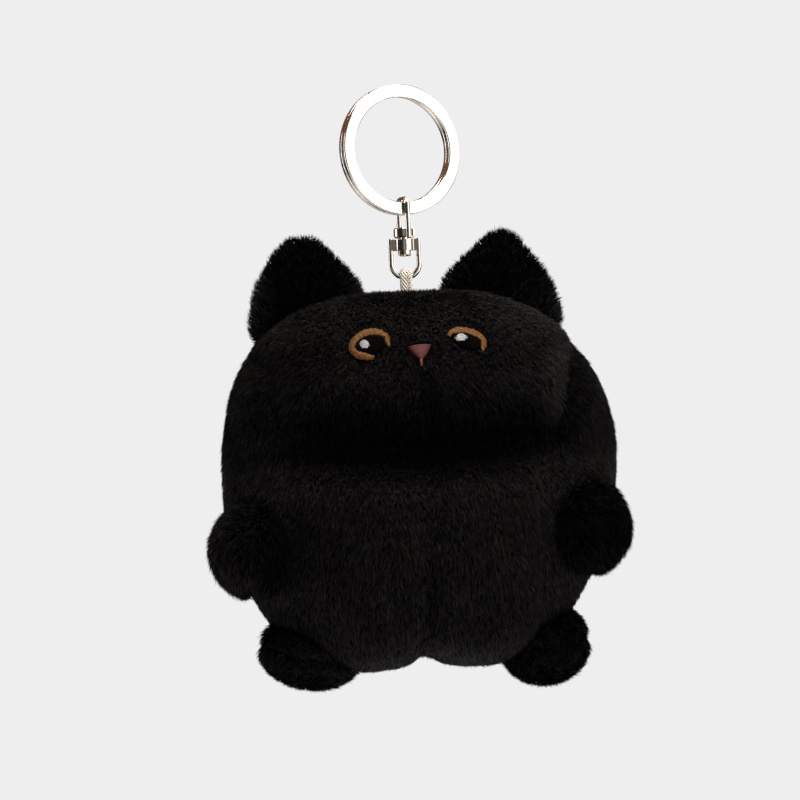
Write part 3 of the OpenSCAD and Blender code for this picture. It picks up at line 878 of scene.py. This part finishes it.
def threads(name, stitches, radius, mat, node):
    """Satin stitches: each a low arch of thread between two points of the face (x, z), in mm."""
    steps = 6
    lines = []
    for (x0, z0), (x1, z1), lift in stitches:
        line = []
        for t in [i / steps for i in range(steps + 1)]:
            arch = math.sin(math.pi * min(max(t, 0.04), 0.96)) ** 0.5
            line.append(on_face(x0 + (x1 - x0) * t, z0 + (z1 - z0) * t, -0.25 + (0.25 + lift) * arch))
        lines.append(line)
    co, faces = tube(lines, radius, 6, lambda ahead: (0, -1, 0))
    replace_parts(new_object(name, co, faces, mat, "plush"), node)


def eye_spot(side, u, v):
    """The face point (x, z) that lies u mm across an eye and v mm up it."""
    a = -side * EYE_TILT
    x = side * EYE_GAP / 2 + u * math.cos(a) - v * math.sin(a)
    return x, EYES_Z + u * math.sin(a) + v * math.cos(a)


def eye_point(side, angle, grow):
    """A point of the eye's outline, moved out by grow mm."""
    u, v = (EYE_W[side] / 2 + grow) * math.cos(angle), (EYE_H[side] / 2 + grow) * math.sin(angle)
    return eye_spot(side, u, v)


def row_places(rows):
    """The middles of evenly spaced rows across a disc, -1 to 1, each with the disc's half width there."""
    for i in range(rows):
        t = (i + 0.5) / rows * 2 - 1
        yield t, math.sqrt(max(0, 1 - t * t))


stitch_rng = np.random.default_rng(77)
GLINT = {-1: (-1.1, -0.25, 1.5, 0.85), 1: (-1.35, 0.35, 1.85, 0.7)}  # x and z offset, half width and height
BAND_STITCHES, PUPIL_ROWS, GLINT_ROWS, NOSE_ROWS = 120, 17, 8, 11
for side, word in ((-1, "left"), (1, "right")):
    band = []
    gap_middle, gap_half = THIN[side]
    slant = 0.07
    for i in range(BAND_STITCHES):
        angle = 2 * math.pi * i / BAND_STITCHES
        off = abs((math.degrees(angle) - gap_middle + 180) % 360 - 180)
        if off < gap_half - 8:
            continue
        wide = 0.35 + 1.4 * min(max((off - gap_half + 8) / 32, 0), 1) ** 0.7  # narrow beside the gap
        outer = eye_point(side, angle, 0.05 + stitch_rng.uniform(-0.12, 0.12))
        inner = eye_point(side, angle + slant, -wide + stitch_rng.uniform(-0.12, 0.12))
        band.append((outer, inner, 0.36 + stitch_rng.uniform(-0.05, 0.1)))
    threads(f"iris_{word}_stitches", band, 0.15, AMBER, f"eye_{word}_iris")
    fill_rows = []
    half_w, half_h = EYE_W[side] / 2 - 0.8, EYE_H[side] / 2 - 0.8
    for t, reach in row_places(PUPIL_ROWS):
        ends = [eye_spot(side, t * half_w, end * reach * half_h) for end in (-1, 1)]
        fill_rows.append((*ends, 0.3 + stitch_rng.uniform(-0.04, 0.06)))
    threads(f"pupil_{word}_stitches", fill_rows, 0.27, BLACK, f"eye_{word}_pupil")
    glint = []
    glint_x, glint_z, wide, tall = GLINT[side]
    for t, reach in row_places(GLINT_ROWS):
        x, z = side * EYE_GAP / 2 + glint_x, EYES_Z + glint_z + t * tall
        glint.append(((x - wide * reach, z), (x + wide * reach, z), 0.6 + stitch_rng.uniform(-0.05, 0.08)))
    threads(f"glint_{word}_stitches", glint, 0.17, WHITE, f"eye_{word}_glint")

nose_rows = []
for i in range(NOSE_ROWS):
    t = (i + 0.5) / NOSE_ROWS
    z = NOSE_Z - t * NOSE_H
    half = NOSE_W / 2 * (1 - t) ** 0.8 + 0.3
    lift = 0.5 + stitch_rng.uniform(-0.05, 0.08)
    nose_rows.append(((-half, z + 0.25 * t), (half, z + 0.25 * (1 - t)), lift))
for i in range(3):
    nose_rows.append(((0.12 * (i - 1), NOSE_Z - NOSE_H + 0.4), (0.1 * (i - 1), NOSE_Z - NOSE_H - 1.5), 0.45))
threads("nose_stitches", nose_rows, 0.2, PINK, "nose")

mouth = []
for i in range(5):
    z = NOSE_Z - NOSE_H - 0.6 - i * 1.75
    for x in (-0.14, 0.14):
        mouth.append(((x, z), (x * 0.6, z - 1.9), 0.1))
threads("mouth_stitches", mouth, 0.2, BLACK, "mouth_stitch")


# ---------------------------------------------------------------- metal

RING_RI, RING_RO, COIL_T, COIL_Y = 12.15, 15.0, 1.45, 0.775
CROSS_MID, CROSS_SPAN = 80.0, 36.0  # where the wire passes from coil to coil, and over how far
COIL_STEP = 2.0  # all three in degrees


def coil_section(edge, steps):
    """A flat wire's rounded section, as (radius, depth)."""
    out = []
    for cx, cy, start in (
        (RING_RO - edge, COIL_T / 2 - edge, 0), (RING_RI + edge, COIL_T / 2 - edge, 90),
        (RING_RI + edge, -COIL_T / 2 + edge, 180), (RING_RO - edge, -COIL_T / 2 + edge, 270),
    ):
        for i in range(steps + 1):
            a = math.radians(start + 90 * i / steps)
            out.append((cx + edge * math.cos(a), cy + edge * math.sin(a)))
    return out


def passed(turn_deg):
    """How far the wire has gone from the front coil to the back."""
    return np.clip((turn_deg - 360) / CROSS_SPAN + 0.5, 0, 1)


section = coil_section(0.28, 3)
ring_co, ring_faces = [], []
count = int(720 / COIL_STEP)
for i in range(count + 1):
    turn_deg = -CROSS_SPAN / 2 + i * COIL_STEP
    across_y = COIL_Y * (2 * passed(turn_deg) - 1)
    a = math.radians(CROSS_MID - turn_deg)
    thin = max(passed(turn_deg + 360), 0.05)  # the front end is ground to an edge over the crossing
    for r, d in section:
        y = across_y - COIL_T / 2 + (COIL_T / 2 - d) * thin
        ring_co.append((r * math.cos(a), y, r * math.sin(a)))
m = len(section)
for i in range(count):
    for k in range(m):
        a, b = i * m + k, i * m + (k + 1) % m
        ring_faces.append((a, b, b + m, a + m))
ring_faces.append(list(range(m))[::-1])
ring_faces.append(list(range(count * m, (count + 1) * m)))
ring = new_object("split_ring_coils", ring_co, ring_faces, NICKEL, "ring", yaw=RING_YAW, sharp=38)
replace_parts(ring, "split_ring")

for node in ("swivel_eye", "swivel_pin", "shackle"):
    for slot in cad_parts[node].material_slots:
        slot.link = "OBJECT"
        slot.material = NICKEL


# ---------------------------------------------------------------- cord

BAR_Z = -29.127
LOOP_R = 1.26
KNOT_TOP = -39.0
IN_KNOT = 2  # how far each leg runs into the knot
PLIES, YARN_STEPS, KNOT_STEPS = 9, 180, 119


def cord_path(t):
    """A point of the cord's middle line and the direction out of its flat side; t runs from 0 to 1."""
    leg = BAR_Z - KNOT_TOP + IN_KNOT
    arch = math.pi * LOOP_R
    s = t * (2 * leg + arch)
    if s < leg:
        return np.array([0, -LOOP_R, KNOT_TOP - IN_KNOT + s]), np.array([0, -1.0, 0])
    if s < leg + arch:
        a = (s - leg) / LOOP_R
        out = np.array([0, -math.cos(a), math.sin(a)])
        return np.array([0, 0, BAR_Z]) + out * LOOP_R, out
    return np.array([0, LOOP_R, BAR_Z - (s - leg - arch)]), np.array([0, 1.0, 0])


def yarn_across(ahead):
    """A direction that is never along the yarn."""
    return [0.3, 0.2, 0.93] if abs(ahead[2]) < 0.8 else [1, 0.1, 0]


yarns = []
for ply in range(PLIES):
    line = []
    for i in range(YARN_STEPS + 1):
        t = i / YARN_STEPS
        p, out = cord_path(t)
        phase = t * 2 * math.pi * 3.2 + ply * 2 * math.pi / PLIES
        line.append(p + np.array([1.12 * math.sin(phase), 0, 0]) + out * 0.3 * math.sin(2 * phase + 0.6))
    yarns.append(line)
co, faces = tube(yarns, 0.24, 8, yarn_across)
cord = new_object("hang_cord_braid", co, faces, CORD_YARN, "plush")
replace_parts(cord, "hang_cord")

knot_line = []
for i in range(KNOT_STEPS + 1):
    a = 2 * math.pi * i / KNOT_STEPS
    r = 1.7 + 0.75 * math.cos(3 * a)
    z = KNOT_TOP - 2.5 + 1.35 * math.sin(3 * a)
    knot_line.append(np.array([r * math.cos(2 * a), r * math.sin(2 * a), z]))
co, faces = tube([knot_line], 0.85, 8, yarn_across)
knot = new_object("cord_knot_turns", co, faces, CORD_YARN, "plush")
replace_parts(knot, "cord_knot")


# ---------------------------------------------------------------- floor and finish

bm = bmesh.new()
bmesh.ops.create_circle(bm, cap_ends=True, segments=96, radius=1.6)
mesh = bpy.data.meshes.new("floor")
bm.to_mesh(mesh)
bm.free()
floor = bpy.data.objects.new("floor", mesh)
scene.collection.objects.link(floor)
floor.location = (0, 0, -0.45)
PAPER = patterned("floor_paper", (0.87, 0.885, 0.9), (0.89, 0.905, 0.92), (0.8, 0.9), 40, bump=0.05)
mesh.materials.append(PAPER)
